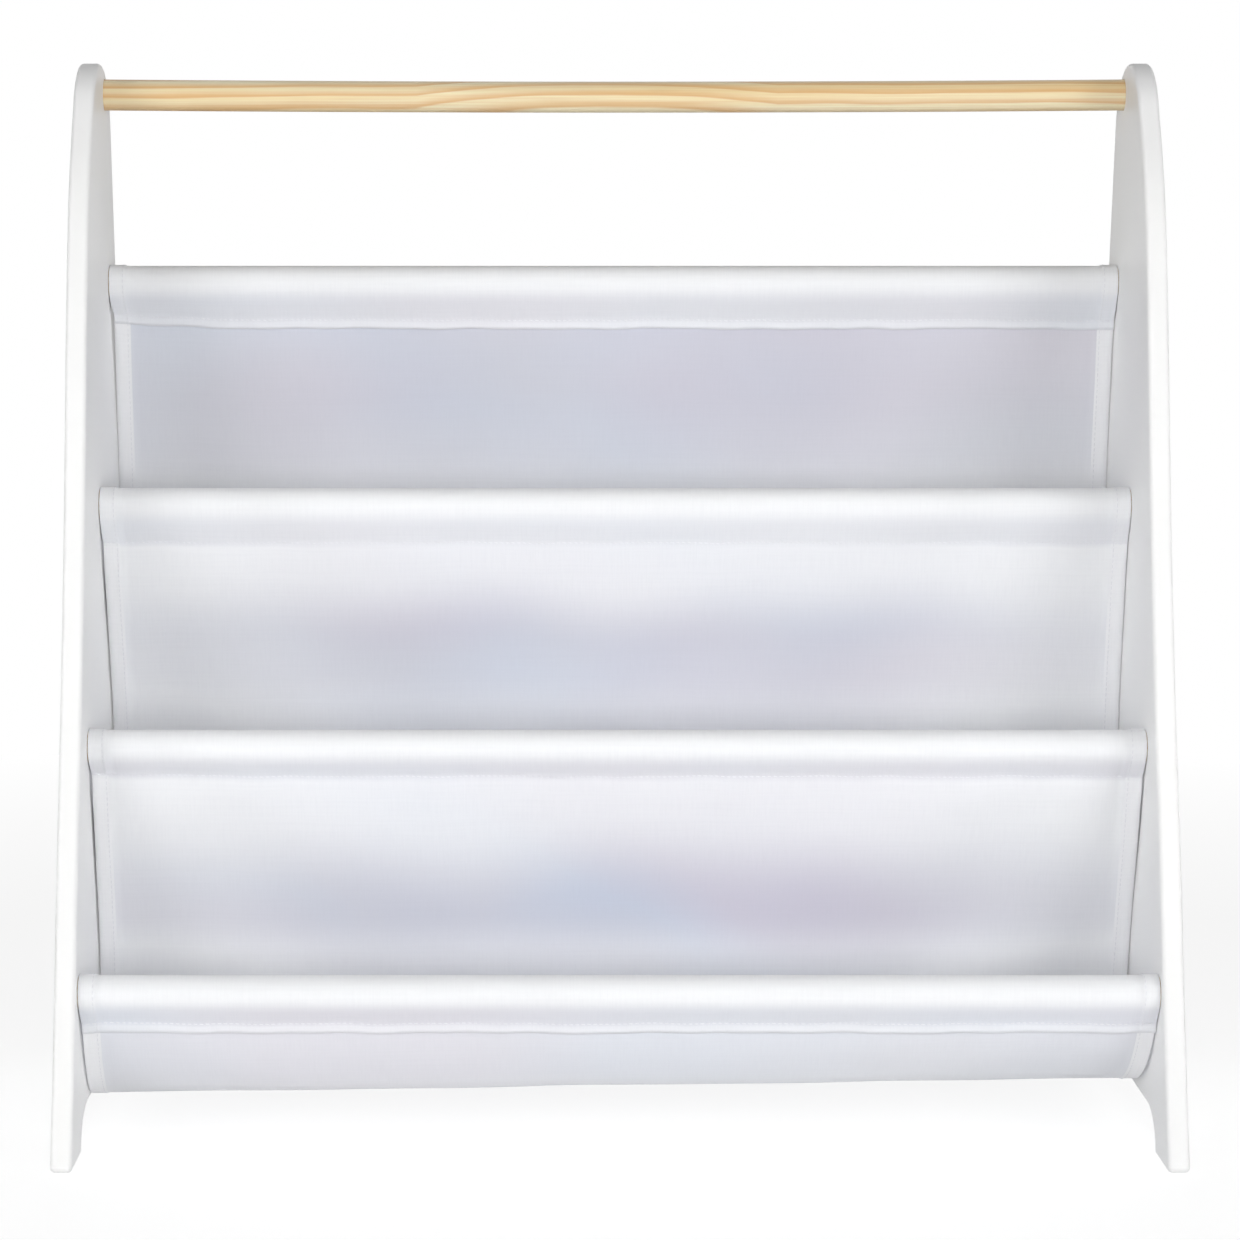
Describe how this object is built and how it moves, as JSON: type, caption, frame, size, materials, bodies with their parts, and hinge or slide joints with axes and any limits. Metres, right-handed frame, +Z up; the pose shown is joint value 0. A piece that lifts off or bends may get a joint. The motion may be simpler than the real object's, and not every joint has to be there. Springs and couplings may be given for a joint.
{
  "type": "sling bookshelf",
  "caption": "Freestanding sling bookshelf for children: curved painted side panels, a bare handle rod and covered rods that carry a sewn fabric strip hanging as book pockets.",
  "frame": {"origin": "on the floor, at the middle of the footprint", "axes": "+Z up, -Y towards the reader at the front, +X to the right seen from the front"},
  "size_m": [0.62, 0.28, 0.605],
  "materials": {
    "painted_board": "satin white paint on fibreboard",
    "pine": "clear satin lacquer",
    "hidden_pine": "sanded, unfinished",
    "sling_fabric": "matt plain weave, slightly sheer",
    "bolt_steel": "zinc-plated, satin",
    "insert_zinc": "cast, matt",
    "cap_plastic": "moulded, satin white"
  },
  "bodies": {
    "root": {"left_side_panel": "painted_board", "right_side_panel": "painted_board", "handle_rod": "pine", "bolt_handle_left": "bolt_steel", "insert_handle_left": "insert_zinc", "cap_handle_left": "cap_plastic", "bolt_handle_right": "bolt_steel", "insert_handle_right": "insert_zinc", "cap_handle_right": "cap_plastic", "bolt_rod_1_left": "bolt_steel", "insert_rod_1_left": "insert_zinc", "cap_rod_1_left": "cap_plastic", "bolt_rod_1_right": "bolt_steel", "insert_rod_1_right": "insert_zinc", "cap_rod_1_right": "cap_plastic", "bolt_rod_2_left": "bolt_steel", "insert_rod_2_left": "insert_zinc", "cap_rod_2_left": "cap_plastic", "bolt_rod_2_right": "bolt_steel", "insert_rod_2_right": "insert_zinc", "cap_rod_2_right": "cap_plastic", "bolt_rod_3_left": "bolt_steel", "insert_rod_3_left": "insert_zinc", "cap_rod_3_left": "cap_plastic", "bolt_rod_3_right": "bolt_steel", "insert_rod_3_right": "insert_zinc", "cap_rod_3_right": "cap_plastic", "bolt_rod_4_left": "bolt_steel", "insert_rod_4_left": "insert_zinc", "cap_rod_4_left": "cap_plastic", "bolt_rod_4_right": "bolt_steel", "insert_rod_4_right": "insert_zinc", "cap_rod_4_right": "cap_plastic", "sling_rod_1": "hidden_pine", "sling_sleeve_1": "sling_fabric", "sling_rod_2": "hidden_pine", "sling_sleeve_2": "sling_fabric", "sling_rod_3": "hidden_pine", "sling_sleeve_3": "sling_fabric", "sling_rod_4": "hidden_pine", "sling_sleeve_4": "sling_fabric", "sling_pocket_1": "sling_fabric", "sling_pocket_2": "sling_fabric", "sling_pocket_3": "sling_fabric"}
  },
  "joints": []
}
